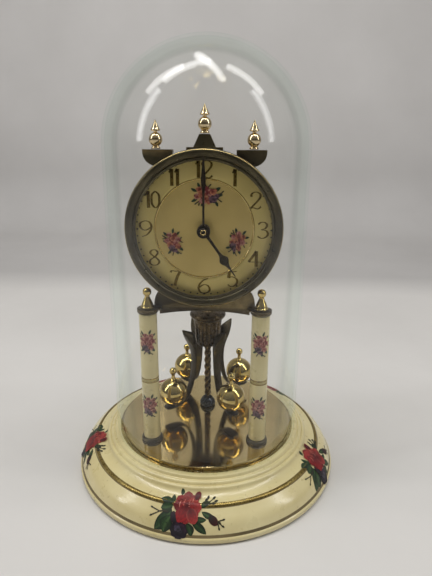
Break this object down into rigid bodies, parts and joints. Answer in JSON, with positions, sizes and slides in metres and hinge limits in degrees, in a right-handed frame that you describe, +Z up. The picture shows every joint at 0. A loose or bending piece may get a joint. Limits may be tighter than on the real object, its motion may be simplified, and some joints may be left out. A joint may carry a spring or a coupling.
{
  "type": "anniversary clock",
  "caption": "Torsion-pendulum clock on a round enamelled base: columns carry the movement and dial above a rotating ball pendulum, under a lift-off glass dome.",
  "frame": {"origin": "centre of the underside, on the surface the clock stands on", "axes": "+Z up, front of the dial towards -Y, +X to the right seen from the front"},
  "size_m": [0.2, 0.2, 0.3077],
  "materials": {
    "cream_enamel": "gloss cream enamel with rose decals and gold lines",
    "column_enamel": "gloss ivory with rose decals",
    "felt": "dark felt",
    "polished_brass": "polished floor plate, mirror-like",
    "gilt_brass": "polished and lacquered",
    "movement_brass": "satin, slightly dulled",
    "bronze": "dark bronze lacquer, worn",
    "steel": "polished steel",
    "dial_paint": "satin cream with printed hour numbers and rose decals",
    "hands": "dark bronzed steel",
    "dome_glass": "clear blown glass, faint green tint"
  },
  "bodies": {
    "base": {"base_shell": "cream_enamel", "felt_ring": "felt", "floor_plate": "polished_brass", "column_collar_left": "bronze", "column_tube_left": "column_enamel", "column_cap_left": "bronze", "column_tie_rod_left": "gilt_brass", "column_collar_right": "bronze", "column_tube_right": "column_enamel", "column_cap_right": "bronze", "column_tie_rod_right": "gilt_brass", "bridge": "bronze", "front_plate": "movement_brass", "back_plate": "movement_brass", "pillar_1": "movement_brass", "pillar_2": "movement_brass", "pillar_3": "movement_brass", "pillar_4": "movement_brass", "dial": "dial_paint", "bezel": "bronze", "gallery_plate": "bronze", "finial_centre": "gilt_brass", "finial_left": "gilt_brass", "finial_right": "gilt_brass", "suspension_saddle": "movement_brass", "suspension_top_block": "movement_brass"},
    "dome": {"glass_dome": "dome_glass"},
    "pendulum": {"pendulum_bottom_block": "movement_brass", "pendulum_crown": "bronze", "pendulum_rod": "bronze", "pendulum_arm_1": "bronze", "pendulum_ball_1": "gilt_brass", "pendulum_arm_2": "bronze", "pendulum_ball_2": "gilt_brass", "pendulum_arm_3": "bronze", "pendulum_ball_3": "gilt_brass", "pendulum_arm_4": "bronze", "pendulum_ball_4": "gilt_brass"},
    "fork": {"suspension_spring": "steel", "suspension_fork": "movement_brass"},
    "anchor": {"anchor": "steel"},
    "escape": {"escape_wheel": "movement_brass"},
    "third": {"third_wheel": "movement_brass"},
    "centre": {"centre_wheel": "movement_brass", "cannon_pinion": "movement_brass", "minute_hand": "hands", "hand_nut": "gilt_brass"},
    "motion": {"minute_wheel": "movement_brass"},
    "hour": {"hour_wheel": "movement_brass", "hour_hand": "hands"},
    "intermediate": {"intermediate_wheel": "movement_brass"},
    "barrel": {"mainspring_barrel": "movement_brass", "barrel_cover": "movement_brass", "mainspring": "steel"},
    "winding": {"winding_arbor": "steel", "ratchet_wheel": "steel"},
    "click": {"click": "steel"},
    "lock_lever": {"lock_lever": "steel"},
    "lock_cup": {"lock_cup": "bronze"}
  },
  "joints": [
    {"name": "dome_lift", "type": "slide", "parent": "base", "child": "dome", "axis": [0, 0, 1], "range_m": [0, 0.26]},
    {"name": "pendulum_swing", "type": "hinge", "parent": "base", "child": "pendulum", "pos_m": [0, 0.016, 0.1], "axis": [0, 0, 1], "range_deg": [-150, 150], "stiffness_Nm_per_rad": 0.00004},
    {"name": "fork_twist", "type": "hinge", "parent": "base", "child": "fork", "pos_m": [0, 0.016, 0.223], "axis": [0, 0, 1], "range_deg": [-8, 8]},
    {"name": "anchor_rock", "type": "hinge", "parent": "base", "child": "anchor", "pos_m": [0, 0, 0.2161], "axis": [0, 1, 0], "range_deg": [-6.5, 6.5]},
    {"name": "hands_turn", "type": "hinge", "parent": "base", "child": "centre", "pos_m": [0, 0, 0.1884], "axis": [0, 1, 0], "continuous": true},
    {"name": "hour_turn", "type": "hinge", "parent": "base", "child": "hour", "pos_m": [0, 0, 0.1884], "axis": [0, 1, 0], "continuous": true},
    {"name": "motion_turn", "type": "hinge", "parent": "base", "child": "motion", "pos_m": [-0.00848, 0, 0.17991], "axis": [0, 1, 0], "continuous": true},
    {"name": "third_turn", "type": "hinge", "parent": "base", "child": "third", "pos_m": [0.01001, 0, 0.20275], "axis": [0, 1, 0], "continuous": true},
    {"name": "escape_turn", "type": "hinge", "parent": "base", "child": "escape", "pos_m": [0, 0, 0.2059], "axis": [0, 1, 0], "continuous": true},
    {"name": "intermediate_turn", "type": "hinge", "parent": "base", "child": "intermediate", "pos_m": [-0.01212, 0, 0.17482], "axis": [0, 1, 0], "continuous": true},
    {"name": "barrel_turn", "type": "hinge", "parent": "base", "child": "barrel", "pos_m": [0.0093, 0, 0.16846], "axis": [0, 1, 0], "continuous": true},
    {"name": "winding_turn", "type": "hinge", "parent": "base", "child": "winding", "pos_m": [0.0093, 0, 0.16846], "axis": [0, 1, 0], "continuous": true},
    {"name": "click_lift", "type": "hinge", "parent": "base", "child": "click", "pos_m": [0.01659, 0, 0.17849], "axis": [0, 1, 0], "range_deg": [0, 14], "stiffness_Nm_per_rad": 0.002, "springref_deg": -11.46},
    {"name": "lock_lever_turn", "type": "hinge", "parent": "base", "child": "lock_lever", "pos_m": [0, 0.056, 0.004], "axis": [0, 0, 1], "range_deg": [0, 25]},
    {"name": "lock_cup_lift", "type": "slide", "parent": "base", "child": "lock_cup", "axis": [0, 0, 1], "range_m": [0, 0.002]}
  ],
  "couplings": [
    {"joint": "fork_twist", "follows": "pendulum_swing", "ratio": 0.049333},
    {"joint": "anchor_rock", "follows": "pendulum_swing", "ratio": 0.039333},
    {"joint": "hour_turn", "follows": "hands_turn", "ratio": 0.083333},
    {"joint": "motion_turn", "follows": "hands_turn", "ratio": -0.33333},
    {"joint": "third_turn", "follows": "hands_turn", "ratio": -6},
    {"joint": "escape_turn", "follows": "hands_turn", "ratio": 15},
    {"joint": "intermediate_turn", "follows": "hands_turn", "ratio": -0.16667},
    {"joint": "barrel_turn", "follows": "hands_turn", "ratio": 0.027778},
    {"joint": "lock_cup_lift", "follows": "lock_lever_turn", "m_per_rad": 0.004584}
  ]
}
